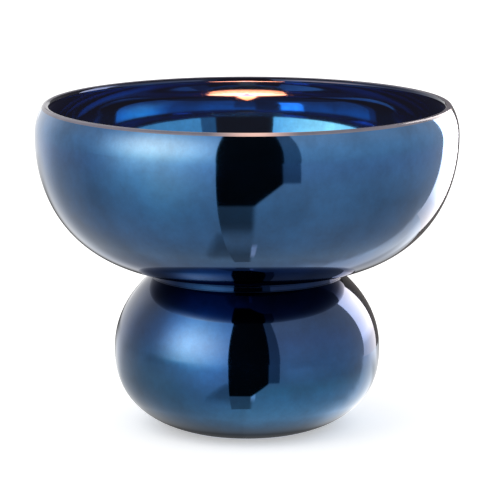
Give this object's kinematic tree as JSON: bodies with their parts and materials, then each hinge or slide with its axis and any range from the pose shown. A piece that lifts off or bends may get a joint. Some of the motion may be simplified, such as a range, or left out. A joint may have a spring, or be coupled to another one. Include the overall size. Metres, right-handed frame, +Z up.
{
  "type": "footed glass candle bowl",
  "caption": "Mirrored blue glass candle bowl with an in-turned rounded lip, bonded to a hollow pebble-shaped foot, with a tealight inside that lifts out.",
  "frame": {"origin": "on the table, at the middle of the ring that the foot stands on", "axes": "+Z up along the axis that the glass is turned about, -Y towards the side that the picture shows"},
  "size_m": [0.174, 0.174, 0.1343],
  "materials": {
    "blue_mirror_glass": "blown glass with a polished blue metallic coating",
    "clear_adhesive": "cured clear adhesive",
    "clear_cup_plastic": "clear polycarbonate",
    "candle_wax": "white paraffin wax",
    "wick_cotton": "braided cotton, burnt at the tip",
    "tinned_sheet": "pressed tinned sheet"
  },
  "bodies": {
    "holder": {"bowl": "blue_mirror_glass", "foot": "blue_mirror_glass", "bond_ring": "clear_adhesive"},
    "tealight": {"tealight_cup": "clear_cup_plastic"},
    "candle": {"candle_wax": "candle_wax", "wick": "wick_cotton", "wick_sustainer": "tinned_sheet"}
  },
  "joints": [
    {"name": "tealight_lift", "type": "slide", "parent": "holder", "child": "tealight", "axis": [0, 0, 1], "range_m": [0, 0.09]},
    {"name": "candle_lift", "type": "slide", "parent": "tealight", "child": "candle", "axis": [0, 0, 1], "range_m": [0, 0.03]}
  ]
}
